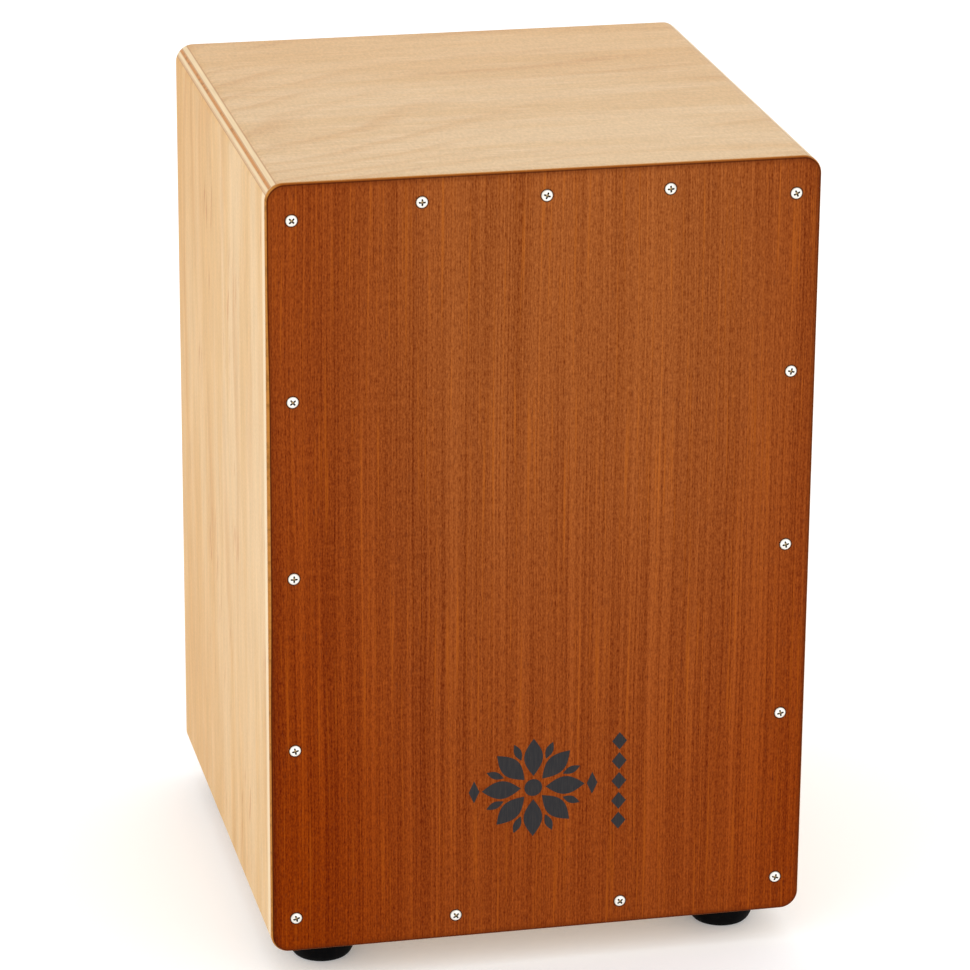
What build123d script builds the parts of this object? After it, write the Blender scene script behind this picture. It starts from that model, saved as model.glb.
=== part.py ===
# A cajon: a box drum that the player sits on, built as a cabinet of birch plywood with a thin
# screwed-on playing plate, a crossbar that carries two half snares, and four rubber feet.
#
# Frame: millimetres. +Z is up and z = 0 is the floor under the feet. The playing plate faces -Y,
# and +X is to the right for someone who faces the plate. The origin is the middle of the bottom
# of the box that bounds the whole drum, with the heads of the plate's screws.

import os

from build123d import *

# Driving dimensions.
BODY_WIDTH = 300.0
BODY_DEPTH = 300.0
BODY_HEIGHT = 438.0
CORNER_RADIUS = 10.0
FOOT_HEIGHT = 19.0

# Cabinet.
PANEL = 9.0
REBATE_DEPTH = 3.0
PLATE = 3.0
BACK_PANEL = 4.0
BATTEN = 18.0
PLATE_FRONT_ROUND = 1.8
PLATE_REAR_ROUND = 0.4
REAR_ROUND = 0.8
RIM_MARGIN = 0.2

# Sound hole in the back panel.
HOLE_RADIUS = 57.5
HOLE_HEIGHT_SHARE = 0.60
HOLE_EASED_EDGE = 0.5

# Screws of the playing plate.
SIDE_INSET = 13.8
TOP_INSET = 13.8
BOTTOM_INSET = 13.5
CORNER_INSET = 20.0
SIDE_SCREW_COUNT = 5
TOP_SCREW_X = (-67.0, 0.0, 67.0)
BOTTOM_SCREW_X = (-46.7, 46.7)
PLATE_SCREW_HEAD_RADIUS = 3.1
PLATE_SCREW_HEAD_HEIGHT = 1.2
PLATE_SCREW_LENGTH = 16.0

# Small parts shared by every screw: shank, and the room for it in wood.
SHANK_RADIUS = 1.5
CLEARANCE_RADIUS = 1.75
PILOT_RADIUS = 1.5
PILOT_EXTRA = 1.0
POINT_LENGTH = 3.0
CROSS_ARM = 0.9

# Snare crossbar, screwed from behind to the uprights of the front frame.
BAR_HEIGHT = 32.0
BAR_DEPTH = 15.0
BAR_HEIGHT_SHARE = 0.58
BAR_END_GAP = 0.5
BAR_SCREW_LENGTH = 28.0
BAR_SCREW_HEAD_RADIUS = 3.6
BAR_SCREW_HEAD_HEIGHT = 2.4

# Half snares: two fans of steel strands that lean out and forward against the plate.
STRANDS = 10
STRAND_PITCH = 4.0
STRAND_RADIUS = 0.8
STRAND_LENGTH = 112.0
STRAND_LEAN_OUT = 22.0
STRAND_GAP_TO_PLATE = 0.4
SNARE_CENTRE_X = 55.0
END_PLATE_THICKNESS = 1.0
END_PLATE_HEIGHT = 14.0
END_PLATE_MARGIN = 4.0
END_PLATE_SCREW_LENGTH = 10.0
END_PLATE_SCREW_HEAD_RADIUS = 2.6
END_PLATE_SCREW_HEAD_HEIGHT = 1.6
STRAND_OVERLAP_ON_PLATE = 5.0

# Rubber feet.
FOOT_TOP_RADIUS = 20.0
FOOT_BOTTOM_RADIUS = 14.0
FOOT_INSET_X = 34.7
FOOT_INSET_Y = 38.0
FOOT_RIM = 1.0
FOOT_RECESS_RADIUS = 7.5
FOOT_RECESS_DEPTH = 11.0
WASHER_RADIUS = 6.0
WASHER_THICKNESS = 1.2
FOOT_SCREW_LENGTH = 15.0
FOOT_SCREW_HEAD_RADIUS = 4.0
FOOT_SCREW_HEAD_HEIGHT = 2.6

# Places worked out from the driving dimensions.
FRONT = -(BODY_DEPTH + PLATE_SCREW_HEAD_HEIGHT) / 2 + PLATE_SCREW_HEAD_HEIGHT
REAR = FRONT + BODY_DEPTH
WALL_FRONT = FRONT + PLATE
BOTTOM = FOOT_HEIGHT
TOP = FOOT_HEIGHT + BODY_HEIGHT
MID_Z = BOTTOM + BODY_HEIGHT / 2
INNER_X = BODY_WIDTH / 2 - PANEL
INNER_BOTTOM = BOTTOM + PANEL
INNER_TOP = TOP - PANEL
LIP = PANEL - REBATE_DEPTH
SCREW_X = BODY_WIDTH / 2 - SIDE_INSET
HOLE_Z = BOTTOM + BODY_HEIGHT * HOLE_HEIGHT_SHARE
BAR_FRONT = WALL_FRONT + BATTEN
BAR_REAR = BAR_FRONT + BAR_DEPTH
BAR_SCREW_X = INNER_X - BATTEN / 2
BAR_Z = BOTTOM + BODY_HEIGHT * BAR_HEIGHT_SHARE


def block(low, high):
    """A plain box between two opposite corners."""
    size = [b - a for a, b in zip(low, high)]
    middle = [(a + b) / 2 for a, b in zip(low, high)]
    return Pos(*middle) * Box(*size)


def outline_prism(y_low, y_high):
    """The rounded outline of the cabinet, drawn out along Y between two depths."""
    section = Plane.XZ * RectangleRounded(BODY_WIDTH, BODY_HEIGHT, CORNER_RADIUS)
    prism = extrude(section, amount=(y_high - y_low) / 2, both=True)
    return Pos(0, (y_low + y_high) / 2, MID_Z) * prism


def round_rear_rim(wall, on_rim):
    """Round over a wall's rear edges whose middles pass the test for the outer rim."""
    rear = [edge for edge in wall.edges().group_by(Axis.Y)[-1] if on_rim(edge.center())]
    return fillet(rear, REAR_ROUND)


def screw(head_radius, head_height, length, head_shape="dome"):
    """A cross-head wood screw along +Z: its head's seat is at z = 0, its point at z = length."""
    if head_shape == "dome":
        curve_radius = (head_radius ** 2 + head_height ** 2) / (2 * head_height)
        ball = Pos(0, 0, curve_radius - head_height) * Sphere(curve_radius)
        head = ball & Pos(0, 0, -head_height / 2) * Cylinder(head_radius, head_height)
    else:
        head = Pos(0, 0, -head_height / 2) * Cylinder(head_radius, head_height)
        head = fillet(head.edges().group_by(Axis.Z)[0], head_height * 0.45)
    shank_end = length - POINT_LENGTH
    shank = Pos(0, 0, shank_end / 2) * Cylinder(SHANK_RADIUS, shank_end)
    point = Pos(0, 0, shank_end + POINT_LENGTH / 2) * Cone(SHANK_RADIUS, 0.2, POINT_LENGTH)
    cross_depth = head_height * 0.65
    arm_length = head_radius * 1.15
    cross = Box(arm_length, CROSS_ARM, cross_depth * 2) + Box(CROSS_ARM, arm_length, cross_depth * 2)
    return head + shank + point - Pos(0, 0, -head_height) * cross


def facing_back(x, y, z, shape):
    """Put a part made along +Z at a place so that it runs towards the back, +Y."""
    return Pos(x, y, z) * Rot(-90, 0, 0) * shape


def facing_front(x, y, z, shape):
    """Put a part made along +Z at a place so that it runs towards the front, -Y."""
    return Pos(x, y, z) * Rot(90, 0, 0) * shape


def hole_along_y(x, z, radius, y_low, y_high):
    """A cylinder to cut a hole along Y."""
    drill = Cylinder(radius, y_high - y_low)
    return Pos(x, (y_low + y_high) / 2, z) * Rot(90, 0, 0) * drill


def side_screw_heights():
    """Evenly spaced heights of the screws in the plate's two long sides."""
    low = BOTTOM + CORNER_INSET
    step = (BODY_HEIGHT - 2 * CORNER_INSET) / (SIDE_SCREW_COUNT - 1)
    return [low + step * index for index in range(SIDE_SCREW_COUNT)]


def plate_screw_places():
    """Where the plate's screws sit, as (x, z), in one list for each edge of the plate."""
    heights = side_screw_heights()
    return {
        "left": [(-SCREW_X, z) for z in heights],
        "right": [(SCREW_X, z) for z in heights],
        "top": [(x, TOP - TOP_INSET) for x in TOP_SCREW_X],
        "bottom": [(x, BOTTOM + BOTTOM_INSET) for x in BOTTOM_SCREW_X],
    }


def foot_centres():
    """Centres of the four feet, by name."""
    x = BODY_WIDTH / 2 - FOOT_INSET_X
    front_y = FRONT + FOOT_INSET_Y
    rear_y = REAR - FOOT_INSET_Y
    return {
        "front_left": (-x, front_y),
        "front_right": (x, front_y),
        "rear_left": (-x, rear_y),
        "rear_right": (x, rear_y),
    }


def drilled(shape, places, y_low, y_high, radius):
    """Drill the same hole along Y at each place in a list of (x, z)."""
    for x, z in places:
        shape -= hole_along_y(x, z, radius, y_low, y_high)
    return shape


def top_panel():
    """The seat: full width, with a rebate at each end that the sides stand in."""
    slab = outline_prism(WALL_FRONT, REAR) & block(
        (-BODY_WIDTH, WALL_FRONT - 1, INNER_TOP), (BODY_WIDTH, REAR + 1, TOP + 1))
    for side in (-1, 1):
        x_low, x_high = sorted((side * INNER_X, side * BODY_WIDTH))
        slab -= block((x_low, WALL_FRONT - 1, INNER_TOP - 1), (x_high, REAR + 1, TOP - LIP))
    return round_rear_rim(slab, lambda middle: middle.Z > TOP - LIP + RIM_MARGIN)


def bottom_panel():
    """The floor of the cabinet, the top panel's mirror image, with pilot holes for the feet."""
    slab = mirror(Pos(0, 0, -MID_Z) * top_panel(), about=Plane.XY)
    slab = Pos(0, 0, MID_Z) * slab
    for x, y in foot_centres().values():
        slab -= Pos(x, y, BOTTOM + PANEL / 2) * Cylinder(PILOT_RADIUS, PANEL + 1)
    return slab


def side_panel(side):
    """One side wall, standing between the lips of the top and bottom panels."""
    x_low, x_high = sorted((side * INNER_X, side * BODY_WIDTH))
    window = block((x_low, WALL_FRONT - 1, BOTTOM + LIP), (x_high, REAR + 1, TOP - LIP))
    wall = outline_prism(WALL_FRONT, REAR) & window
    return round_rear_rim(wall, lambda middle: abs(middle.X) > INNER_X + PANEL / 2 + RIM_MARGIN)


def back_panel():
    """The thin back, let in flush between the four walls, with the round sound hole."""
    panel = block((-INNER_X, REAR - BACK_PANEL, INNER_BOTTOM), (INNER_X, REAR, INNER_TOP))
    panel -= hole_along_y(0, HOLE_Z, HOLE_RADIUS, REAR - BACK_PANEL - 1, REAR + 1)
    rims = panel.edges().filter_by(GeomType.CIRCLE)
    return chamfer(rims, HOLE_EASED_EDGE)


def front_plate():
    """The playing plate, cut to the same outline as the cabinet and screwed on all round."""
    plate = outline_prism(FRONT, WALL_FRONT)
    plate = fillet(plate.edges().group_by(Axis.Y)[0], PLATE_FRONT_ROUND)
    plate = fillet(plate.edges().group_by(Axis.Y)[-1], PLATE_REAR_ROUND)
    for places in plate_screw_places().values():
        plate = drilled(plate, places, FRONT - 1, WALL_FRONT + 1, CLEARANCE_RADIUS)
    return plate


def upright_batten(side, y_low, y_high):
    """A square strip glued up the inside of one side wall, between top and bottom panels."""
    x_low, x_high = sorted((side * INNER_X, side * (INNER_X - BATTEN)))
    return block((x_low, y_low, INNER_BOTTOM), (x_high, y_high, INNER_TOP))


def cross_batten(end, y_low, y_high):
    """A square strip glued along the top or the bottom panel, between the uprights."""
    reach = INNER_X - BATTEN
    face = INNER_TOP if end == "top" else INNER_BOTTOM
    other = face - BATTEN if end == "top" else face + BATTEN
    z_low, z_high = sorted((face, other))
    return block((-reach, y_low, z_low), (reach, y_high, z_high))


def battens():
    """The front frame that the plate is screwed to and the rear frame that the back lies on."""
    frames = {
        "front": (WALL_FRONT, WALL_FRONT + BATTEN),
        "rear": (REAR - BACK_PANEL - BATTEN, REAR - BACK_PANEL),
    }
    places = plate_screw_places()
    pilot_end = FRONT + PLATE_SCREW_LENGTH + PILOT_EXTRA
    nodes = {}
    for frame, (y_low, y_high) in frames.items():
        nodes[f"{frame}_batten_left"] = upright_batten(-1, y_low, y_high)
        nodes[f"{frame}_batten_right"] = upright_batten(1, y_low, y_high)
        nodes[f"{frame}_batten_top"] = cross_batten("top", y_low, y_high)
        nodes[f"{frame}_batten_bottom"] = cross_batten("bottom", y_low, y_high)
    for edge, edge_places in places.items():
        name = f"front_batten_{edge}"
        nodes[name] = drilled(nodes[name], edge_places, WALL_FRONT - 1, pilot_end, PILOT_RADIUS)
    bar_pilot_end = BAR_REAR - BAR_SCREW_LENGTH - PILOT_EXTRA
    for edge, x in (("left", -BAR_SCREW_X), ("right", BAR_SCREW_X)):
        name = f"front_batten_{edge}"
        nodes[name] -= hole_along_y(x, BAR_Z, PILOT_RADIUS, bar_pilot_end, BAR_FRONT + 1)
    return nodes


def plate_screws(places):
    """The screws along one edge of the plate."""
    one = screw(PLATE_SCREW_HEAD_RADIUS, PLATE_SCREW_HEAD_HEIGHT, PLATE_SCREW_LENGTH)
    return Compound(children=[facing_back(x, FRONT, z, one) for x, z in places])


def snare_frames():
    """Local frames of the two half snares: the origin is on the front of the bar, local Z runs
    along the strands and leans outwards, and local Y points to the back."""
    frames = {}
    for name, side in (("left", -1), ("right", 1)):
        frames[name] = Pos(side * SNARE_CENTRE_X, BAR_FRONT, BAR_Z) * Rot(0, side * STRAND_LEAN_OUT, 0)
    return frames


END_PLATE_WIDTH = (STRANDS - 1) * STRAND_PITCH + 2 * END_PLATE_MARGIN
END_PLATE_SCREW_X = END_PLATE_WIDTH / 4


def end_plate_screw_places():
    """The two screws of an end plate, in its local frame."""
    return [(-END_PLATE_SCREW_X, -END_PLATE_HEIGHT / 4), (END_PLATE_SCREW_X, -END_PLATE_HEIGHT / 4)]


def snare_bar():
    """The wooden bar across the cabinet, drilled for its own screws and for the end plates'."""
    reach = INNER_X - BAR_END_GAP
    half_height = BAR_HEIGHT / 2
    bar = block((-reach, BAR_FRONT, BAR_Z - half_height), (reach, BAR_REAR, BAR_Z + half_height))
    for x in (-BAR_SCREW_X, BAR_SCREW_X):
        bar -= hole_along_y(x, BAR_Z, CLEARANCE_RADIUS, BAR_FRONT - 1, BAR_REAR + 1)
    depth = END_PLATE_SCREW_LENGTH + PILOT_EXTRA
    for local in snare_frames().values():
        for x, z in end_plate_screw_places():
            bar -= local * hole_along_y(x, z, PILOT_RADIUS, -1, depth)
    return bar


def snare_bar_screws():
    """The two screws that hold the bar to the front frame, driven in from behind."""
    one = screw(BAR_SCREW_HEAD_RADIUS, BAR_SCREW_HEAD_HEIGHT, BAR_SCREW_LENGTH, "pan")
    places = (-BAR_SCREW_X, BAR_SCREW_X)
    return Compound(children=[facing_front(x, BAR_REAR, BAR_Z, one) for x in places])


def snare_end_plate(local):
    """The steel strip that the strands are soldered to."""
    half_width = END_PLATE_WIDTH / 2
    half_height = END_PLATE_HEIGHT / 2
    strip = block((-half_width, -END_PLATE_THICKNESS, -half_height), (half_width, 0, half_height))
    strip = fillet(strip.edges().filter_by(Axis.Y), 1.5)
    for x, z in end_plate_screw_places():
        strip -= hole_along_y(x, z, CLEARANCE_RADIUS, -END_PLATE_THICKNESS - 1, 1)
    return local * strip


def snare_end_plate_screws(local):
    """The two small screws through an end plate into the bar."""
    one = screw(END_PLATE_SCREW_HEAD_RADIUS, END_PLATE_SCREW_HEAD_HEIGHT, END_PLATE_SCREW_LENGTH, "pan")
    places = end_plate_screw_places()
    return Compound(children=[
        local * facing_back(x, -END_PLATE_THICKNESS, z, one) for x, z in places])


def snare_strands(local):
    """The strands of one half snare, from the end plate up to the back of the playing plate."""
    root_y = -END_PLATE_THICKNESS - STRAND_RADIUS
    tip_y = WALL_FRONT - BAR_FRONT + STRAND_RADIUS + STRAND_GAP_TO_PLATE
    root_z = END_PLATE_HEIGHT / 2 - STRAND_OVERLAP_ON_PLATE
    bend_z = END_PLATE_HEIGHT / 2
    tip_z = root_z + STRAND_LENGTH
    strands = []
    for index in range(STRANDS):
        x = (index - (STRANDS - 1) / 2) * STRAND_PITCH
        line = Polyline((x, root_y, root_z), (x, root_y, bend_z), (x, tip_y, tip_z))
        circle = Plane(origin=(x, root_y, root_z), z_dir=(0, 0, 1)) * Circle(STRAND_RADIUS)
        strands.append(local * sweep(circle, path=line, transition=Transition.RIGHT))
    return Compound(children=strands)


def foot(x, y):
    """A rubber foot with a rounded side, narrower at the floor, and a recess for its screw."""
    swing = FOOT_TOP_RADIUS - FOOT_BOTTOM_RADIUS
    rim_z = FOOT_HEIGHT - FOOT_RIM
    seat_z = FOOT_RECESS_DEPTH
    with BuildPart() as body:
        with BuildSketch(Plane.XZ):
            with BuildLine():
                Line((CLEARANCE_RADIUS, FOOT_HEIGHT), (FOOT_TOP_RADIUS, FOOT_HEIGHT))
                Line((FOOT_TOP_RADIUS, FOOT_HEIGHT), (FOOT_TOP_RADIUS, rim_z))
                EllipticalCenterArc((FOOT_BOTTOM_RADIUS, rim_z), swing, rim_z, -90, arc_size=90)
                Line((FOOT_BOTTOM_RADIUS, 0), (FOOT_RECESS_RADIUS, 0))
                Line((FOOT_RECESS_RADIUS, 0), (FOOT_RECESS_RADIUS, seat_z))
                Line((FOOT_RECESS_RADIUS, seat_z), (CLEARANCE_RADIUS, seat_z))
                Line((CLEARANCE_RADIUS, seat_z), (CLEARANCE_RADIUS, FOOT_HEIGHT))
            make_face()
        revolve(axis=Axis.Z)
    return Pos(x, y, 0) * body.part


def foot_washer(x, y):
    """The steel washer at the bottom of a foot's recess."""
    ring = Cylinder(WASHER_RADIUS, WASHER_THICKNESS) - Cylinder(CLEARANCE_RADIUS, WASHER_THICKNESS + 1)
    return Pos(x, y, FOOT_RECESS_DEPTH - WASHER_THICKNESS / 2) * ring


def foot_screw(x, y):
    """The screw that holds a foot to the bottom panel."""
    one = screw(FOOT_SCREW_HEAD_RADIUS, FOOT_SCREW_HEAD_HEIGHT, FOOT_SCREW_LENGTH, "pan")
    return Pos(x, y, FOOT_RECESS_DEPTH - WASHER_THICKNESS) * one


def all_nodes():
    """Every separate piece of the drum, by node name."""
    nodes = {
        "top_panel": top_panel(),
        "bottom_panel": bottom_panel(),
        "left_side_panel": side_panel(-1),
        "right_side_panel": side_panel(1),
        "back_panel": back_panel(),
        "front_plate": front_plate(),
        "snare_bar": snare_bar(),
        "snare_bar_screws": snare_bar_screws(),
    }
    nodes.update(battens())
    for edge, places in plate_screw_places().items():
        nodes[f"front_plate_screws_{edge}"] = plate_screws(places)
    for side, local in snare_frames().items():
        nodes[f"snare_end_plate_{side}"] = snare_end_plate(local)
        nodes[f"snare_end_plate_screws_{side}"] = snare_end_plate_screws(local)
        nodes[f"snare_wires_{side}"] = snare_strands(local)
    for corner, (x, y) in foot_centres().items():
        nodes[f"foot_{corner}"] = foot(x, y)
        nodes[f"foot_washer_{corner}"] = foot_washer(x, y)
        nodes[f"foot_screw_{corner}"] = foot_screw(x, y)
    return nodes


os.makedirs("parts", exist_ok=True)
for node, shape in all_nodes().items():
    export_step(shape, f"parts/{node}.step")
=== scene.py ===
# The looks of the cajon: materials, screw heads, coiled snares and the printed ornament, built
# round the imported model. Everything is in metres in the model's own frame: z = 0 is the floor,
# the playing plate faces -Y and +X is to the right for someone who faces the plate.

import math
from collections import namedtuple

import bmesh
import bpy
from mathutils import Matrix, Vector


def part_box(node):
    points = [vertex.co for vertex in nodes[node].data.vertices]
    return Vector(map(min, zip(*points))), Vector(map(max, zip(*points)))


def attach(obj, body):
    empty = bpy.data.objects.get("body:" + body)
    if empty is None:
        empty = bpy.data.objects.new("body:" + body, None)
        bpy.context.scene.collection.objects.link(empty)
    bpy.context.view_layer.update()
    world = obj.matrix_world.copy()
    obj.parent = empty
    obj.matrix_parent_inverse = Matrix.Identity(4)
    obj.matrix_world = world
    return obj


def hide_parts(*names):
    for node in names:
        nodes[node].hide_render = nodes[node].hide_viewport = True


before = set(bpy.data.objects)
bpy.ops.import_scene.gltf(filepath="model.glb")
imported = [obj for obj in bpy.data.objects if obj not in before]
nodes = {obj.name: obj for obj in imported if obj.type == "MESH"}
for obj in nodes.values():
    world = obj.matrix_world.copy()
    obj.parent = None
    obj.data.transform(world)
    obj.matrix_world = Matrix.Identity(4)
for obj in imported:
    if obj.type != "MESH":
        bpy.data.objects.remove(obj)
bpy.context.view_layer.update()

MM = 0.001
BODY = "root"

# The outline shared by the cabinet and the plate, in millimetres.
plate_low, plate_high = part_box("front_plate")
FRONT = plate_low.y / MM
JOINT = plate_high.y / MM
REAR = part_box("left_side_panel")[1].y / MM
HALF_WIDTH = plate_high.x / MM
BOTTOM = plate_low.z / MM
TOP = plate_high.z / MM
MID_Z = (TOP + BOTTOM) / 2
HALF_HEIGHT = (TOP - BOTTOM) / 2
CORNER_RADIUS = 10.0

# The layers of each sheet of plywood, from its outer face inwards.
FACE_VENEER = 0.7
WALL = 9.0
WALL_CORES = 5
BACK_THICKNESS = (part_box("back_panel")[1].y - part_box("back_panel")[0].y) / MM
BACK_VENEER = 0.5
BACK_CORES = 1
GLUE_LINE = 0.22
PLATE_BACKING = 0.5

# The plate's screws.
HEAD_RADIUS = 3.1
HEAD_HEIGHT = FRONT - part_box("front_plate_screws_left")[0].y / MM
HEAD_EDGE_HEIGHT = 0.22
SCREW_LENGTH = 16.0
SHANK_RADIUS = 1.5
# The cross recess: half the width of an arm, its reach from the middle, its depth, and the
# angles from an arm, in degrees, at which a quarter of its outline is drawn.
ARM_HALF_WIDTH = 0.5
ARM_REACH = 1.95
RECESS_DEPTH = 1.25
RECESS_ANGLES = (0, 5, 10, 15, 19, 25, 34, 45, 56, 65, 71, 75, 80, 85)
# The shank: smooth below the head, then ridges in place of a thread.
SMOOTH_SHANK = 2.5
RIDGE_PITCH = 1.1
RIDGES = 9
RIDGE_ROOT = SHANK_RADIUS * 0.72
# How far each screw was turned, in degrees, as it faces the player: rows go upwards or from left
# to right.
SCREW_TURNS = {
    "left": (17, 12, 0, 40, 45),
    "right": (-17, 12, 12, -12, 25),
    "top": (0, -20, 4),
    "bottom": (38, 40),
}

# The half snares: coiled strands that leave an end plate on the crossbar and lean outwards.
STRANDS = 10
STRAND_PITCH = 4.0
STRAND_RADIUS = 0.8
STRAND_LENGTH = 112.0
STRAND_LEAN = 22.0
STRAND_FOOT = 5.0
END_PLATE_HEIGHT = 14.0
END_PLATE_THICKNESS = 1.0
STRAND_GAP_TO_PLATE = 0.4
WIRE_RADIUS = 0.16
TURN_PITCH = 1.1
STEPS_PER_TURN = 8

# The printed ornament: a rosette of leaves, a small diamond on each side of it, and a column of
# diamonds. Leaves are (inner radius, outer radius, half width); diamonds are half sizes.
PRINT_HEIGHT = 0.08
ROSETTE_X = -3.6
ROSETTE_Z = BOTTOM + 86.5
DISC_RADIUS = 5.0
LEAVES = 8
LARGE_LEAF = (7.0, 29.0, 5.3)
SMALL_LEAF = (18.0, 28.5, 2.1)
SIDE_DIAMOND = (3.0, 6.5)
SIDE_DIAMOND_REACH = 33.3
COLUMN_X = 44.9
COLUMN_DIAMOND = (4.2, 5.1)
COLUMN_COUNT = 5
COLUMN_PITCH = 11.9

# How much the noise texture strays from its middle value, as a standard deviation.
NOISE_SPREAD = 0.12


# Fields: numbers and colours that vary over a surface, written as ordinary formulas.

class Field:
    """An output socket in a material's node tree that can be used in arithmetic."""

    def __init__(self, tree, socket):
        self.tree = tree
        self.socket = socket

    def math(self, operation, *others):
        node = self.tree.nodes.new("ShaderNodeMath")
        node.operation = operation
        for slot, value in zip(node.inputs, (self, *others)):
            connect(self.tree, value, slot)
        return Field(self.tree, node.outputs[0])

    def __add__(self, other):
        return self.math("ADD", other)

    def __sub__(self, other):
        return self.math("SUBTRACT", other)

    def __mul__(self, other):
        return self.math("MULTIPLY", other)

    def __truediv__(self, other):
        return self.math("DIVIDE", other)

    def __neg__(self):
        return self.math("MULTIPLY", -1.0)

    def __abs__(self):
        return self.math("ABSOLUTE")

    def __pow__(self, power):
        return self.math("POWER", power)

    def fraction(self):
        return self.math("FRACT")

    def at_least(self, other):
        return self.math("MAXIMUM", other)

    def at_most(self, other):
        return self.math("MINIMUM", other)

    def inverse(self):
        """One minus the field."""
        return self.math("MULTIPLY", -1.0).math("ADD", 1.0)

    def swing(self, amount):
        """A noise moved to 0 on average, with a standard deviation of amount."""
        return (self - 0.5) * (amount / NOISE_SPREAD)

    def rise(self, start, end):
        """0 below start, 1 above end, and a smooth rise between them."""
        node = self.tree.nodes.new("ShaderNodeMapRange")
        node.interpolation_type = "SMOOTHSTEP"
        connect(self.tree, self, node.inputs["Value"])
        node.inputs["From Min"].default_value = min(start, end)
        node.inputs["From Max"].default_value = max(start, end)
        node.inputs["To Min"].default_value = 0.0 if start < end else 1.0
        node.inputs["To Max"].default_value = 1.0 if start < end else 0.0
        return Field(self.tree, node.outputs["Result"])


def connect(tree, value, slot):
    """Put a number, a colour or a field on an input."""
    if isinstance(value, Field):
        tree.links.new(value.socket, slot)
    elif isinstance(value, tuple):
        slot.default_value = value[:len(slot.default_value)]
    else:
        slot.default_value = value


def colour(red, green, blue):
    """A colour given as it looks on a screen, 0 to 255, as the linear values a node holds."""
    channels = []
    for level in (red, green, blue):
        share = level / 255
        channels.append(share / 12.92 if share <= 0.04045 else ((share + 0.055) / 1.055) ** 2.4)
    return (*channels, 1.0)


class Surface:
    """A new material, with the place and the direction of each of its points as fields."""

    def __init__(self, name, **settings):
        self.material = bpy.data.materials.new(name)
        self.material.use_nodes = True
        self.tree = self.material.node_tree
        self.shader = self.tree.nodes["Principled BSDF"]
        for socket, value in settings.items():
            self.shader.inputs[socket.replace("_", " ")].default_value = value
        coordinates = self.tree.nodes.new("ShaderNodeTexCoord")
        self.x, self.y, self.z = self.split(coordinates.outputs["Object"], 1 / MM)
        self.nx, self.ny, self.nz = self.split(coordinates.outputs["Normal"], 1.0)

    def split(self, socket, scale):
        node = self.tree.nodes.new("ShaderNodeSeparateXYZ")
        self.tree.links.new(socket, node.inputs[0])
        return [Field(self.tree, output) * scale for output in node.outputs]

    def noise(self, x, y, z, detail=2.0, roughness=0.5):
        """Smooth noise, about 0.5 on average, whose features are one unit of x, y and z across."""
        vector = self.tree.nodes.new("ShaderNodeCombineXYZ")
        for value, slot in zip((x, y, z), vector.inputs):
            connect(self.tree, value, slot)
        node = self.tree.nodes.new("ShaderNodeTexNoise")
        self.tree.links.new(vector.outputs[0], node.inputs["Vector"])
        node.inputs["Scale"].default_value = 1.0
        node.inputs["Detail"].default_value = detail
        node.inputs["Roughness"].default_value = roughness
        return Field(self.tree, node.outputs["Fac"])

    def mix(self, factor, first, second, blend="MIX"):
        """The first colour where the factor is 0 and the second where it is 1."""
        node = self.tree.nodes.new("ShaderNodeMix")
        node.data_type = "RGBA"
        node.blend_type = blend
        connect(self.tree, factor, node.inputs[0])
        connect(self.tree, first, node.inputs[6])
        connect(self.tree, second, node.inputs[7])
        return Field(self.tree, node.outputs[2])

    def shade(self, tone, amount):
        """The colour times a number that varies."""
        node = self.tree.nodes.new("ShaderNodeVectorMath")
        node.operation = "SCALE"
        connect(self.tree, tone, node.inputs[0])
        connect(self.tree, amount, node.inputs["Scale"])
        return Field(self.tree, node.outputs[0])

    def finish(self, base=None, roughness=None, height=None, height_mm=0.05):
        """Link the varying colour, roughness and height to the shader."""
        if base is not None:
            connect(self.tree, base, self.shader.inputs["Base Color"])
        if roughness is not None:
            connect(self.tree, roughness, self.shader.inputs["Roughness"])
        if height is not None:
            bump = self.tree.nodes.new("ShaderNodeBump")
            bump.inputs["Strength"].default_value = 1.0
            bump.inputs["Distance"].default_value = height_mm * MM
            connect(self.tree, height, bump.inputs["Height"])
            self.tree.links.new(bump.outputs["Normal"], self.shader.inputs["Normal"])
        return self.material


# Wood. Each function takes the distance along the grain, across it, and into the sheet.

# How a birch face looks. Its rings are lines across the sheet, ring_spacing apart. They bend away
# from straight by ring_bend times the square of the distance along the grain from straight_at.
Birch = namedtuple("Birch", "light middle warm ring_spacing ring_bend straight_at ring_strength "
                            "streak_width streak_strength speck_strength mineral_strength")
TOP_BIRCH = Birch(
    light=colour(205, 174, 134), middle=colour(200, 165, 121), warm=colour(181, 130, 78),
    ring_spacing=27.0, ring_bend=0.0011, straight_at=140.0, ring_strength=0.28,
    streak_width=2.2, streak_strength=0.024, speck_strength=0.040, mineral_strength=0.12)
SIDE_BIRCH = Birch(
    light=colour(220, 185, 137), middle=colour(214, 173, 117), warm=colour(198, 145, 84),
    ring_spacing=38.0, ring_bend=0.00002, straight_at=200.0, ring_strength=0.45,
    streak_width=6.0, streak_strength=0.042, speck_strength=0.022, mineral_strength=0.9)
BACK_BIRCH = Birch(
    light=colour(214, 184, 146), middle=colour(207, 172, 130), warm=colour(186, 141, 93),
    ring_spacing=30.0, ring_bend=0.0004, straight_at=120.0, ring_strength=0.30,
    streak_width=3.0, streak_strength=0.03, speck_strength=0.03, mineral_strength=0.3)

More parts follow.
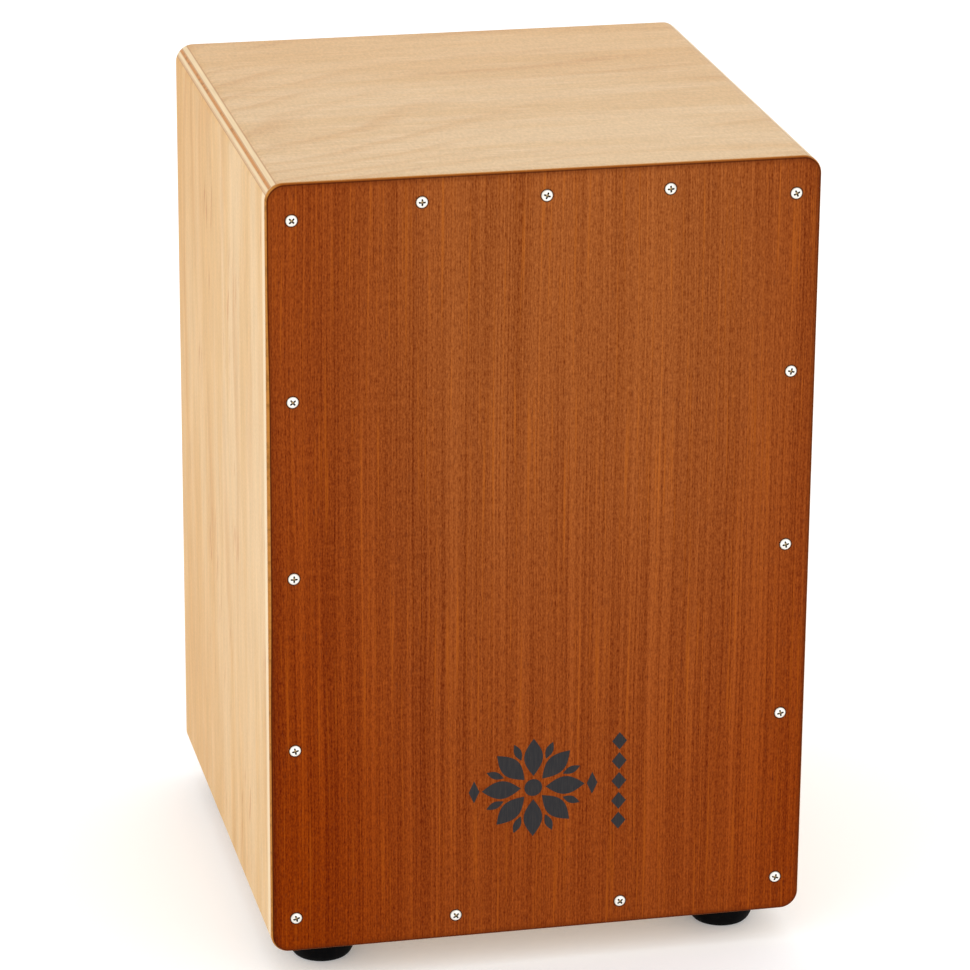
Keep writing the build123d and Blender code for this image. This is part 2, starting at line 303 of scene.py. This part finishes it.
# The tones of a ply cut along its grain and across it, how dark each core's cut ends are next to
# the others', and the glue between them, which shows most in the outer part of a wall.
WALL_EDGE_TONES = (colour(222, 196, 156), colour(192, 132, 74))
BACK_EDGE_TONES = (colour(224, 198, 160), colour(180, 130, 86))
CORE_CONTRAST = (1.0, 1.0, 1.0, 0.45, 1.0)
GLUE_TONE = colour(154, 90, 40)
GLUE_FADE = (4.5, 2.0)
PLY_BLUR = 0.02
LACQUER_GLOSS = 0.15


def birch_veneer(s, along, across, into, look):
    """Pale rotary-cut birch. Returns its tone and its fibres."""
    bands = s.noise(across / 26, along / 240, into / 40, detail=2)
    tone = s.mix(bands.rise(0.36, 0.64), look.light, look.middle)
    tone = s.mix(growth_rings(s, along, across, into, look), tone, look.warm)
    streaks = s.noise(across / look.streak_width, along / 42, into / 8, detail=3, roughness=0.65)
    specks = s.noise(across / 3.0, along / 1.5, into / 3, detail=1)
    fibres = s.noise(across / 0.5, along / 10, into / 2, detail=2)
    brightness = (streaks.swing(look.streak_strength) + specks.swing(look.speck_strength)
                  + fibres.swing(0.012) + 1.0)
    tone = s.shade(tone, brightness)
    silver = s.noise(across / 1.6, along / 26, into / 3, detail=1).rise(0.60, 0.74)
    tone = s.mix(silver * 0.20, tone, colour(236, 212, 176))
    mineral = mineral_streaks(s, along, across, into) * look.mineral_strength
    return s.mix(mineral, tone, colour(184, 112, 54)), fibres


def growth_rings(s, along, across, into, look):
    """How strongly late wood shows: bands that wander, come and go, and end in a sharp line."""
    drift = s.noise(across / 85, along / 300, into / 60, detail=2, roughness=0.35)
    curve = (along - look.straight_at) * (along - look.straight_at) * look.ring_bend
    ring = ((across + curve) / look.ring_spacing + drift * 4.0).fraction()
    presence = s.noise(across / 60, along / 180, into / 30, detail=1).rise(0.40, 0.66)
    late_wood = ring.rise(0.50, 0.86) * ring.rise(1.0, 0.88)
    return late_wood * presence * look.ring_strength


def mineral_streaks(s, along, across, into):
    """Short dark marks that lean a little, in a few patches of the sheet."""
    leaning = across + along * 0.15
    patches = s.noise(across / 45, along / 120, into / 20, detail=1).rise(0.52, 0.66)
    marks = s.noise(leaning / 4.0, along / 34, into / 3, detail=2).rise(0.56, 0.76)
    return marks * patches


def core_wood(s, along, across, into, end, long_tone, end_tone):
    """A ply seen on a cut edge. end is 1 where the cut crosses the grain and 0 along it."""
    streaks = s.noise(across / 1.1, along / 30, into / 1.1, detail=2, roughness=0.6)
    knots = s.noise(across / 5, along / 9, into / 5, detail=2, roughness=0.6)
    tone = s.mix(end, long_tone, end_tone)
    tone = s.shade(tone, streaks * 0.36 + 0.82)
    return s.shade(tone, (knots.rise(0.50, 0.70) * end * 0.30).inverse())


def from_layer(s, depth, start, above, below):
    """One tone above a layer's start and another below it."""
    return s.mix(depth.rise(start - PLY_BLUR, start + PLY_BLUR), above, below)


def plywood(s, depth, thickness, veneer, cores, face, axes, tones):
    """A sheet of plywood: face veneers and thicker cores whose grain runs crosswise in turn.

    depth is the distance from the outer face; face is (tone, fibres) of the veneer; axes holds,
    for crosswise cores and for the others, (how squarely the grain is cut, along, across)."""
    long_tone, end_tone = tones
    face_tone, fibres = face
    core = (thickness - 2 * veneer) / cores
    ply_place = ((depth - veneer) / core + 0.5).fraction() * core
    from_glue = abs(ply_place - core * 0.5)
    past_glue = from_glue.rise(core * 0.04, core * 0.18)
    tone = face_tone
    for index in range(cores):
        squareness, along, across = axes[index % 2]
        end = squareness.rise(0.40, 0.66) * past_glue * CORE_CONTRAST[index]
        layer = core_wood(s, along, across, depth + 20 * index, end, long_tone, end_tone)
        tone = from_layer(s, depth, veneer + core * index, tone, layer)
    backing = thickness - veneer
    tone = from_layer(s, depth, backing, tone, face_tone)
    between_faces = depth.rise(veneer - GLUE_LINE, veneer) * depth.rise(backing + GLUE_LINE, backing)
    glue = from_glue.rise(GLUE_LINE, GLUE_LINE * 0.3) * between_faces
    tone = s.mix(glue * (depth.rise(*GLUE_FADE) * 0.4 + 0.15), tone, GLUE_TONE)
    return s.finish(tone, fibres * 0.10 + 0.46, fibres, 0.015)


def tinted(s, amount, tone, tint):
    """A tone, multiplied by a tint where the amount is 1."""
    return s.mix(amount, tone, s.mix(1.0, tone, tint, "MULTIPLY"))


def top_birch(name, from_top):
    """The top and bottom panels: face grain from left to right, a little warmer at the rear."""
    s = Surface(name, Specular_IOR_Level=LACQUER_GLOSS)
    face, fibres = birch_veneer(s, s.x, s.y, s.z, TOP_BIRCH)
    face = tinted(s, s.y.rise(-40.0, REAR) * 0.6, face, colour(250, 235, 211))
    depth = (-s.z + TOP) if from_top else (s.z - BOTTOM)
    axes = ((abs(s.ny), s.y, s.x), (abs(s.nx), s.x, s.y))
    return plywood(s, depth, WALL, FACE_VENEER, WALL_CORES, (face, fibres), axes, WALL_EDGE_TONES)


def side_birch(name, side):
    """A side panel: face grain upright, warmer at the rear and below, with a painted highlight beside the
    plate.
    """
    s = Surface(name, Specular_IOR_Level=LACQUER_GLOSS)
    face, fibres = birch_veneer(s, s.z, s.y + 300 * side, s.x, SIDE_BIRCH)
    at_rear = s.y.rise(-20.0, REAR) * (s.z.rise(250.0, 420.0) * 0.5 + 0.5)
    below = s.z.rise(300.0, 160.0) * s.y.rise(-130.0, -60.0) * 0.25
    face = tinted(s, at_rear + below, face, colour(247, 234, 208))
    # Painted highlight: a pale band along the front edge, beside the plate.
    painted_highlight_beside_plate = (s.y - JOINT).rise(9.5, 5.0)
    face = s.mix(painted_highlight_beside_plate * 0.8, face, colour(237, 214, 178))
    depth = (-(s.x * side)) + HALF_WIDTH
    axes = ((abs(s.ny), s.y, s.z), (abs(s.nz), s.z, s.y))
    return plywood(s, depth, WALL, FACE_VENEER, WALL_CORES, (face, fibres), axes, WALL_EDGE_TONES)


def back_birch(name):
    """The thin back panel, of three plies with upright face grain."""
    s = Surface(name, Specular_IOR_Level=LACQUER_GLOSS)
    face = birch_veneer(s, s.z, s.x, s.y, BACK_BIRCH)
    depth = (-s.y) + REAR
    axes = ((abs(s.nx), s.x, s.z), (abs(s.nz), s.z, s.x))
    return plywood(s, depth, BACK_THICKNESS, BACK_VENEER, BACK_CORES, face, axes, BACK_EDGE_TONES)


def outline_distance(s):
    """How far inside the rounded outline a point is, in millimetres."""
    over_x = abs(s.x) - (HALF_WIDTH - CORNER_RADIUS)
    over_z = abs(s.z - MID_Z) - (HALF_HEIGHT - CORNER_RADIUS)
    out_x = over_x.at_least(0.0)
    out_z = over_z.at_least(0.0)
    corner = (out_x * out_x + out_z * out_z) ** 0.5
    inner = over_x.at_least(over_z).at_most(0.0)
    return (corner + inner - CORNER_RADIUS) * -1.0


def screw_places(row):
    """The (x, z) of the screws in one row, evenly spaced between the ends of its node's box."""
    low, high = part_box("front_plate_screws_" + row)
    count = len(SCREW_TURNS[row])
    first = ((low.x + high.x) / 2 / MM, low.z / MM + HEAD_RADIUS)
    last = (first[0], high.z / MM - HEAD_RADIUS)
    if row in ("top", "bottom"):
        first = (low.x / MM + HEAD_RADIUS, (low.z + high.z) / 2 / MM)
        last = (high.x / MM - HEAD_RADIUS, first[1])
    return [tuple(a + (b - a) * index / (count - 1) for a, b in zip(first, last))
            for index in range(count)]


def screw_ring(s):
    """How far a point of the plate is outside the nearest screw head, in millimetres."""
    nearest = None
    for row in SCREW_TURNS:
        places = screw_places(row)
        (x, z), (next_x, next_z) = places[0], places[1]
        step_x, step_z = next_x - x, next_z - z
        across, along = (s.x - x, s.z - z) if step_x == 0 else (s.z - z, s.x - x)
        step = step_x + step_z
        number = (along / step + 0.5).math("FLOOR").at_least(0.0).at_most(float(len(places) - 1))
        off = along - number * step
        distance = (across * across + off * off) ** 0.5 - HEAD_RADIUS
        nearest = distance if nearest is None else nearest.at_most(distance)
    return nearest


# Where the plate's core shows: on its edge, and in front on a rim that was sanded through the
# veneer, wider towards the left edge and widest in the middle of that edge's height. A dark line
# beside it, and the veneer's darkening towards it, are partly built-up finish and partly painted
# shade of the rounded edge.
SANDED_RIM = 0.5
FINISH_AND_SHADE_LINE = 0.4
SHADED_RIM = (4.6, 1.0)


def mahogany_plate(name):
    """The playing plate: fine ribbon-grained red-brown veneer over a tan core."""
    s = Surface(name, Specular_IOR_Level=0.02)
    wander = s.noise(s.x / 70, s.z / 210, 3.0, detail=1) * 4.0
    across = s.x + wander
    lines = s.noise(across / 1.0, s.z / 380, 2.0, detail=1)
    flecks = s.noise(across / 0.75, s.z / 4.2, 5.0, detail=1)
    pores = s.noise(across / 0.9, s.z / 8.0, 9.0, detail=1).rise(0.60, 0.78)
    tone = mahogany_veneer(s, across, lines, flecks, pores)
    tone = mahogany_rim(s, tone)
    # A dark ring round each screw head: partly crushed veneer, partly a painted contact shadow.
    tone = s.mix(screw_ring(s).rise(0.9, 0.2) * 0.85, tone, colour(44, 18, 8))
    backing = s.shade(colour(214, 176, 130), flecks.swing(0.08) + 1.0)
    backing_from = JOINT - PLATE_BACKING - FRONT
    tone = s.mix((s.y - FRONT).rise(backing_from - 0.03, backing_from + 0.03), tone, backing)
    height = lines * 0.6 + flecks * 0.4 - pores * 0.8
    return s.finish(tone, lines * 0.12 + 0.42, height, 0.02)


def mahogany_veneer(s, across, lines, flecks, pores):
    """The veneer's tone, with pale threads and dark pores, and a painted sheen: lighter high up and
    across the middle, darker and redder low down and at the sides.
    """
    ribbons = s.noise(across / 26, s.z / 900, 21.0, detail=1)
    bands = s.noise(across / 7.5, s.z / 520, 4.0, detail=1)
    fine = s.noise(across / 0.7, s.z / 1.4, 6.0, detail=0)
    light = (ribbons.swing(0.03) + bands.swing(0.055) + lines.swing(0.13) + flecks.swing(0.13)
             + fine.swing(0.08) + 0.50)
    # Painted sheen: the soft reflection of the studio light makes the plate lighter and paler high up and
    # across the middle.
    middle = s.x.rise(-HALF_WIDTH + 10.0, -30.0) * s.x.rise(HALF_WIDTH + 40.0, 70.0)
    high = s.z.rise(BOTTOM + 20.0, TOP - 60.0) * (middle * 0.25 + 0.30) + middle * 0.30
    dark_tone = s.mix(high, colour(88, 18, 0), colour(110, 45, 6))
    light_tone = s.mix(high, colour(147, 59, 1), colour(169, 98, 47))
    tone = s.mix(light + middle * 0.06, dark_tone, light_tone)
    threads = s.noise(across / 1.3, s.z / 120, 11.0, detail=1).rise(0.57, 0.74)
    tone = s.mix(threads * 0.45, tone, s.mix(high, colour(168, 78, 8), colour(184, 102, 34)))
    return s.mix(pores * 0.40, tone, colour(88, 38, 20))


def mahogany_rim(s, tone):
    """The veneer's tone, with the core showing on the plate's edge and its sanded rim."""
    rim = outline_distance(s)
    # Built-up finish and painted shade of the rounded edge darken the veneer towards the rim.
    tone = s.mix(rim.rise(*SHADED_RIM) * 0.42, tone, colour(84, 30, 5))
    uneven = s.z.rise(150.0, 230.0) * s.z.rise(400.0, 330.0) * 0.65 + 0.25
    sanded = s.x.rise(-HALF_WIDTH + 2 * CORNER_RADIUS, -HALF_WIDTH) * uneven + SANDED_RIM
    past_sanded = rim - sanded
    # A dark line of built-up finish and painted shade where the rounded edge begins.
    finish_and_shade_line = abs(past_sanded - FINISH_AND_SHADE_LINE).rise(0.55, 0.15)
    tone = s.mix(finish_and_shade_line * 0.7, tone, colour(66, 24, 5))
    grain_end = abs(s.x).rise(HALF_WIDTH - CORNER_RADIUS, HALF_WIDTH - 3.0)
    front_wood = core_wood(s, s.x, s.z, s.y, grain_end, colour(140, 76, 24), colour(180, 120, 56))
    rear_wood = core_wood(s, s.x, s.z, s.y, grain_end, colour(188, 128, 60), colour(190, 132, 74))
    core = s.mix((s.y - FRONT).rise(0.8, 2.3), front_wood, rear_wood)
    return s.mix(past_sanded.rise(0.15, -0.15), tone, core)


def softwood(name, upright):
    """Planed, unfinished wood, with its grain upright or from left to right."""
    s = Surface(name, Specular_IOR_Level=0.3)
    along, across = (s.z, s.x) if upright else (s.x, s.z)
    rings = s.noise(across / 2.4, along / 160, s.y / 2.4, detail=2, roughness=0.5)
    fibres = s.noise(across / 0.5, along / 18, s.y / 0.5, detail=2)
    tone = s.mix(rings.rise(0.35, 0.70), colour(208, 174, 130), colour(180, 134, 84))
    tone = s.shade(tone, fibres * 0.2 + 0.9)
    return s.finish(tone, fibres * 0.1 + 0.6, fibres, 0.06)


# Rubber, metal and print.

def rubber(name):
    """Moulded black rubber with a fine bloom."""
    s = Surface(name, Specular_IOR_Level=0.04)
    bloom = s.noise(s.x / 9, s.y / 9, s.z / 9, detail=3)
    grain = s.noise(s.x / 0.35, s.y / 0.35, s.z / 0.35, detail=2)
    tone = s.mix(bloom.rise(0.4, 0.7), colour(4, 4, 5), colour(11, 11, 12))
    return s.finish(tone, bloom * 0.2 + 0.5, grain, 0.03)


def nickel_head(name):
    """Bright nickel plate, with painted shade that darkens it near the edge of each screw head."""
    s = Surface(name, Metallic=0.4)
    cloud = s.noise(s.x / 4, s.y / 4, s.z / 4, detail=3)
    scuffs = s.noise(s.x / 0.2, s.y, s.z / 1.6, detail=2)
    base = s.mix(cloud.rise(0.35, 0.75), colour(250, 249, 244), colour(232, 229, 220))
    # Painted shade: the rim of each head turns grey-brown.
    painted_rim_shade = screw_ring(s).rise(-0.55, -0.05)
    base = s.mix(painted_rim_shade * 0.75, base, colour(176, 164, 142))
    return s.finish(base, scuffs * 0.18 + 0.24, scuffs, 0.004)


def recess_metal(name):
    """The cross recess: a painted reflection of the wood makes it brassy in the middle, and painted shade
    makes it dark in the arms.
    """
    s = Surface(name, Metallic=0.6)
    from_centre = screw_ring(s) + HEAD_RADIUS
    scuffs = s.noise(s.x / 0.2, s.y / 0.6, s.z / 0.6, detail=2)
    # Painted reflection in the middle of the recess, painted shade in its arms.
    base = s.mix(from_centre.rise(0.25, 1.1), colour(196, 168, 122), colour(60, 54, 42))
    base = s.shade(base, scuffs * 0.5 + 0.75)
    return s.finish(base, scuffs * 0.2 + 0.4, scuffs, 0.004)


def plated_metal(name, tone, dull_tone, roughness, scale):
    """Plated steel with fine scuffs and a slightly uneven plate."""
    s = Surface(name, Metallic=1.0)
    cloud = s.noise(s.x / (4 * scale), s.y / (4 * scale), s.z / (4 * scale), detail=3)
    scuffs = s.noise(s.x / (0.2 * scale), s.y / scale, s.z / (1.6 * scale), detail=2)
    base = s.mix(cloud.rise(0.35, 0.75), tone, dull_tone)
    return s.finish(base, scuffs * 0.18 + roughness, scuffs, 0.004)


def printing_ink(name):
    """Matt charcoal screen print, thin enough for the grain to show a little."""
    s = Surface(name, Specular_IOR_Level=0.15)
    grain = s.noise(s.x / 0.7, s.z / 9, 2.0, detail=2)
    tone = s.mix(grain.rise(0.3, 0.8), colour(37, 37, 40), colour(50, 47, 47))
    return s.finish(tone, grain * 0.1 + 0.5, grain, 0.01)


# Meshes.

def new_piece(name, mesh, materials, slot, *replaced):
    """Make an object of a closed mesh that is already in place, attach it to the body and hide the CAD
    nodes it replaces.
    """
    bmesh.ops.recalc_face_normals(mesh, faces=mesh.faces)
    bmesh.ops.scale(mesh, vec=(MM, MM, MM), verts=mesh.verts)
    data = bpy.data.meshes.new(name)
    mesh.to_mesh(data)
    mesh.free()
    for material in materials:
        data.materials.append(material)
    piece = bpy.data.objects.new(name, data)
    bpy.context.scene.collection.objects.link(piece)
    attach(piece, BODY)
    if replaced:
        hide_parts(*replaced)
    return piece


def skin(mesh, rings, inner_bands=0):
    """Join rings of points in order; a ring of one point closes an end. The first bands, as many
    as inner_bands, take the piece's second material."""
    rows = [[mesh.verts.new(point) for point in ring] for ring in rings]
    for band, (lower, upper) in enumerate(zip(rows, rows[1:])):
        for i in range(max(len(lower), len(upper))):
            corners = [lower[i % len(lower)], lower[(i + 1) % len(lower)],
                       upper[(i + 1) % len(upper)], upper[i % len(upper)]]
            corners = list(dict.fromkeys(corners))
            if len(corners) > 2:
                face = mesh.faces.new(corners)
                face.smooth = True
                face.material_index = 1 if band < inner_bands else 0


def recess_radius(angle):
    """How far the cross recess reaches at an angle, in degrees, from one of its arms."""
    from_arm = math.radians(abs((angle + 45) % 90 - 45))
    tip_centre = ARM_REACH - ARM_HALF_WIDTH
    if from_arm < math.atan(ARM_HALF_WIDTH / tip_centre):
        sideways = tip_centre * math.sin(from_arm)
        return tip_centre * math.cos(from_arm) + math.sqrt(ARM_HALF_WIDTH ** 2 - sideways ** 2)
    return ARM_HALF_WIDTH / math.sin(from_arm)


def dome_height(radius):
    """The height of the screw's low dome above the plate."""
    rise = HEAD_HEIGHT - HEAD_EDGE_HEIGHT
    return HEAD_EDGE_HEIGHT + rise * (1 - (radius / HEAD_RADIUS) ** 2.2)


def plate_screw(mesh, x, z, turn):
    """A cross-head screw of the plate: domed head, recess, and a ridged shank down to its point."""
    angles = [quarter * 90 + angle for quarter in range(4) for angle in RECESS_ANGLES]

    def ring(radius_at, height_at):
        points = []
        for angle in angles:
            radius = radius_at(angle)
            turned = math.radians(angle + turn)
            points.append((x + radius * math.cos(turned), FRONT - height_at(radius),
                           z + radius * math.sin(turned)))
        return points

    def round_ring(radius, height=None):
        return ring(lambda angle: radius, dome_height if height is None else lambda r: height)

    floor = dome_height(0) - RECESS_DEPTH
    rings = [[(x, FRONT - floor, z)]]
    rings.append(ring(lambda a: recess_radius(a) * 0.45, lambda r: floor + 0.08))
    rings.append(ring(lambda a: recess_radius(a) * 0.86, lambda r: dome_height(0) * 0.45))
    rings.append(ring(recess_radius, lambda r: dome_height(r) - 0.06))
    rings.append(ring(lambda a: recess_radius(a) + 0.07, dome_height))
    rings.append(ring(lambda a: (recess_radius(a) + 2.2) / 2, dome_height))
    rings += [round_ring(radius) for radius in (2.2, 2.5, 2.75, 2.95, 3.04)]
    rings += [round_ring(HEAD_RADIUS, 0.16), round_ring(HEAD_RADIUS, 0.0)]
    rings += [round_ring(SHANK_RADIUS, 0.0), round_ring(SHANK_RADIUS, -SMOOTH_SHANK)]
    for index in range(RIDGES):
        start = SMOOTH_SHANK + RIDGE_PITCH * index
        rings.append(round_ring(RIDGE_ROOT, -(start + RIDGE_PITCH * 0.2)))
        rings.append(round_ring(RIDGE_ROOT, -(start + RIDGE_PITCH * 0.7)))
        rings.append(round_ring(SHANK_RADIUS, -(start + RIDGE_PITCH)))
    rings.append([(x, FRONT + SCREW_LENGTH, z)])
    skin(mesh, rings, inner_bands=3)


def plate_screws(nickel, recess):
    """The four rows of screws round the plate."""
    for row, turns in SCREW_TURNS.items():
        mesh = bmesh.new()
        for (x, z), turn in zip(screw_places(row), turns):
            plate_screw(mesh, x, z, turn)
        new_piece("plate_screws_" + row, mesh, [nickel, recess], "nickel_screw",
                  "front_plate_screws_" + row)


def coil(mesh, path, sideways, forward):
    """A coiled wire round a path of straight runs. sideways and forward are across the path."""
    rise = forward.cross(sideways)
    coil_radius = STRAND_RADIUS - WIRE_RADIUS - 0.01
    rings = []
    travelled = 0.0
    step = TURN_PITCH / STEPS_PER_TURN
    for start, end in zip(path, path[1:]):
        length = (end - start).length
        count = round(length / step)
        for index in range(count):
            middle = start.lerp(end, index / count)
            angle = 2 * math.pi * (travelled + length * index / count) / TURN_PITCH
            outward = sideways * math.cos(angle) + forward * math.sin(angle)
            centre = middle + outward * coil_radius
            rings.append([centre + outward * WIRE_RADIUS, centre + rise * WIRE_RADIUS,
                          centre - outward * WIRE_RADIUS, centre - rise * WIRE_RADIUS])
        travelled += length
    skin(mesh, [[sum(rings[0], Vector()) / 4], *rings, [sum(rings[-1], Vector()) / 4]])


def snare_wires(wire):
    """Both half snares, each a fan of coiled strands from its end plate up to the plate."""
    bar_low, bar_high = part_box("snare_bar")
    bar_front = bar_low.y / MM
    bar_z = (bar_low.z + bar_high.z) / 2 / MM
    for side, name in ((-1, "left"), (1, "right")):
        plate_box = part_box("snare_end_plate_" + name)
        centre_x = (plate_box[0].x + plate_box[1].x) / 2 / MM
        lean = math.radians(STRAND_LEAN) * side
        sideways = Vector((math.cos(lean), 0, -math.sin(lean)))
        upward = Vector((math.sin(lean), 0, math.cos(lean)))
        forward = Vector((0, -1, 0))
        origin = Vector((centre_x, bar_front, bar_z))
        root_up = END_PLATE_HEIGHT / 2 - STRAND_FOOT
        root_out = END_PLATE_THICKNESS + STRAND_RADIUS
        tip_out = bar_front - JOINT - STRAND_RADIUS - STRAND_GAP_TO_PLATE
        mesh = bmesh.new()
        for index in range(STRANDS):
            base = origin + sideways * ((index - (STRANDS - 1) / 2) * STRAND_PITCH)
            path = [base + upward * root_up + forward * root_out,
                    base + upward * (root_up + STRAND_FOOT) + forward * root_out,
                    base + upward * (root_up + STRAND_LENGTH) + forward * tip_out]
            coil(mesh, path, sideways, forward)
        new_piece("snare_coils_" + name, mesh, [wire], "snare_wire", "snare_wires_" + name)


def printed_patch(mesh, outline):
    """A thin closed patch of ink on the plate, with a convex outline of (x, z) points."""
    top = [mesh.verts.new((x, FRONT - PRINT_HEIGHT, z)) for x, z in outline]
    base = [mesh.verts.new((x, FRONT, z)) for x, z in outline]
    mesh.faces.new(top)
    mesh.faces.new(base)
    for i in range(len(outline)):
        j = (i + 1) % len(outline)
        mesh.faces.new((top[i], top[j], base[j], base[i]))


def leaf(x, z, angle, shape, steps=14):
    """A pointed leaf that runs outwards from (x, z) between two radii."""
    start, end, half_width = shape
    along = (math.cos(angle), math.sin(angle))
    points = []
    for i in range(2 * steps):
        share = i / steps if i <= steps else 2 - i / steps
        side = 1 if i <= steps else -1
        reach = start + (end - start) * share
        out = side * half_width * math.sin(math.pi * share)
        points.append((x + along[0] * reach - along[1] * out, z + along[1] * reach + along[0] * out))
    return points


def diamond(x, z, shape):
    """A diamond round (x, z)."""
    half_width, half_height = shape
    return [(x + half_width, z), (x, z + half_height), (x - half_width, z), (x, z - half_height)]


def disc(x, z, radius):
    """A disc round (x, z)."""
    angles = [math.radians(degrees) for degrees in range(0, 360, 12)]
    return [(x + radius * math.cos(a), z + radius * math.sin(a)) for a in angles]


def printed_ornament(ink):
    """A plain geometric rosette and a column of diamonds, low on the plate."""
    mesh = bmesh.new()
    printed_patch(mesh, disc(ROSETTE_X, ROSETTE_Z, DISC_RADIUS))
    for index in range(LEAVES):
        angle = 2 * math.pi * index / LEAVES
        printed_patch(mesh, leaf(ROSETTE_X, ROSETTE_Z, angle, LARGE_LEAF))
        between = angle + math.pi / LEAVES
        printed_patch(mesh, leaf(ROSETTE_X, ROSETTE_Z, between, SMALL_LEAF))
    for side in (-1, 1):
        printed_patch(mesh, diamond(ROSETTE_X + side * SIDE_DIAMOND_REACH, ROSETTE_Z, SIDE_DIAMOND))
    for index in range(COLUMN_COUNT):
        z = ROSETTE_Z + (index - COLUMN_COUNT // 2) * COLUMN_PITCH
        printed_patch(mesh, diamond(COLUMN_X, z, COLUMN_DIAMOND))
    new_piece("printed_ornament", mesh, [ink], "foot_rubber")


def wrap_materials():
    """Give every CAD node that stays in view its own detailed material."""
    birch_top = top_birch("birch_top", True)
    birch_bottom = top_birch("birch_bottom", False)
    birch_left = side_birch("birch_left", -1)
    birch_right = side_birch("birch_right", 1)
    birch_back = back_birch("birch_back")
    mahogany = mahogany_plate("mahogany_plate")
    upright_wood = softwood("planed_softwood_upright", True)
    level_wood = softwood("planed_softwood_level", False)
    foot_rubber = rubber("foot_rubber_black")
    zinc = plated_metal("dull_zinc", colour(200, 200, 198), colour(170, 168, 160), 0.32, 1.0)
    steel = plated_metal("rolled_steel", colour(205, 203, 198), colour(180, 176, 168), 0.28, 2.0)
    looks = {
        "top_panel": birch_top,
        "bottom_panel": birch_bottom,
        "left_side_panel": birch_left,
        "right_side_panel": birch_right,
        "back_panel": birch_back,
        "front_plate": mahogany,
        "snare_bar": level_wood,
    }
    for name, node in nodes.items():
        if name in looks:
            look = looks[name]
        elif name.endswith(("batten_left", "batten_right")):
            look = upright_wood
        elif "batten" in name:
            look = level_wood
        elif "screw" in name or "washer" in name:
            look = zinc
        elif name.startswith("foot_"):
            look = foot_rubber
        else:
            look = steel
        for slot in node.material_slots:
            slot.material = look


# The camera, in metres and degrees: pitch is how far it looks down, and yaw how far to the right.
CAMERA_PLACE = (-0.5328, -2.3783, 1.1034)
CAMERA_YAW = 12.66
CAMERA_PITCH = 19.73
CAMERA_ROLL = 0.46
CAMERA_LENS = 168.4

# The lights: name, place, width and height, and power. They all point at LIGHT_TARGET.
LIGHT_TARGET = (0.0, 0.0, 0.24)
LIGHTS = (
    ("key_left", (-1.9, -1.5, 1.5), (1.6, 1.6), 10.0),
    ("fill_front", (0.9, -2.6, 1.3), (2.2, 1.6), 7.0),
    ("top", (0.0, 0.2, 2.4), (2.0, 2.0), 6.0),
    ("back", (0.8, 2.2, 1.4), (1.6, 1.6), 4.0),
)
FLOOR_HALF = 12.0
FLOOR_GLOW = 0.22
FLOOR_GREYS = ((0.82, 0.82, 0.82, 1.0), (0.85, 0.85, 0.85, 1.0))
WHITE = (1.0, 1.0, 1.0, 1.0)


def make_camera():
    """The camera at the photograph's viewing angle."""
    yaw = math.radians(CAMERA_YAW)
    pitch = math.radians(CAMERA_PITCH)
    roll = math.radians(CAMERA_ROLL)
    forward = Vector((math.sin(yaw) * math.cos(pitch), math.cos(yaw) * math.cos(pitch), -math.sin(pitch)))
    right = Vector((math.cos(yaw), -math.sin(yaw), 0))
    up = right.cross(forward)
    tilted_right = right * math.cos(roll) + up * math.sin(roll)
    tilted_up = up * math.cos(roll) - right * math.sin(roll)
    data = bpy.data.cameras.new("camera")
    data.sensor_width = 36.0
    data.lens = CAMERA_LENS
    data.clip_start = 0.05
    data.clip_end = 60.0
    camera = bpy.data.objects.new("camera", data)
    axes = Matrix((tilted_right, tilted_up, -forward)).transposed()
    camera.matrix_world = Matrix.Translation(CAMERA_PLACE) @ axes.to_4x4()
    bpy.context.scene.collection.objects.link(camera)
    bpy.context.scene.camera = camera


def area_light(name, place, size, power):
    """A soft rectangular light that points at the cajon."""
    data = bpy.data.lights.new(name, "AREA")
    data.shape = "RECTANGLE"
    data.size, data.size_y = size
    data.energy = power
    light = bpy.data.objects.new(name, data)
    light.location = place
    direction = Vector(LIGHT_TARGET) - Vector(place)
    light.rotation_mode = "QUATERNION"
    light.rotation_quaternion = direction.to_track_quat("-Z", "Y")
    bpy.context.scene.collection.objects.link(light)


def make_floor():
    """A pale floor that glows a little, with a hardly visible cloudiness."""
    mesh = bmesh.new()
    mesh.faces.new([mesh.verts.new((x * FLOOR_HALF, y * FLOOR_HALF, 0.0))
                    for x, y in ((-1, -1), (1, -1), (1, 1), (-1, 1))])
    data = bpy.data.meshes.new("studio_floor")
    mesh.to_mesh(data)
    mesh.free()
    floor = bpy.data.objects.new("studio_floor", data)
    paper = Surface("pale_floor", Roughness=0.9, Specular_IOR_Level=0.1,
                    Emission_Color=WHITE, Emission_Strength=FLOOR_GLOW)
    cloud = paper.noise(paper.x / 900, paper.y / 900, 0.0, detail=2)
    data.materials.append(paper.finish(paper.mix(cloud, *FLOOR_GREYS)))
    bpy.context.scene.collection.objects.link(floor)


def make_studio():
    """A white surround, soft lights from the left, the front, above and behind, and the floor."""
    world = bpy.data.worlds.new("studio")
    world.use_nodes = True
    background = world.node_tree.nodes["Background"]
    background.inputs["Color"].default_value = WHITE
    background.inputs["Strength"].default_value = 1.0
    bpy.context.scene.world = world
    bpy.context.scene.view_settings.view_transform = "Standard"
    for light in LIGHTS:
        area_light(*light)
    make_floor()


def make_pieces():
    """The pieces that stand for CAD nodes, and the print."""
    nickel = nickel_head("nickel_plate")
    recess = recess_metal("recess_metal")
    wire = plated_metal("snare_wire_steel", colour(225, 224, 220), colour(190, 188, 182), 0.22, 1.0)
    plate_screws(nickel, recess)
    snare_wires(wire)
    printed_ornament(printing_ink("charcoal_ink"))


wrap_materials()
make_pieces()
make_camera()
make_studio()
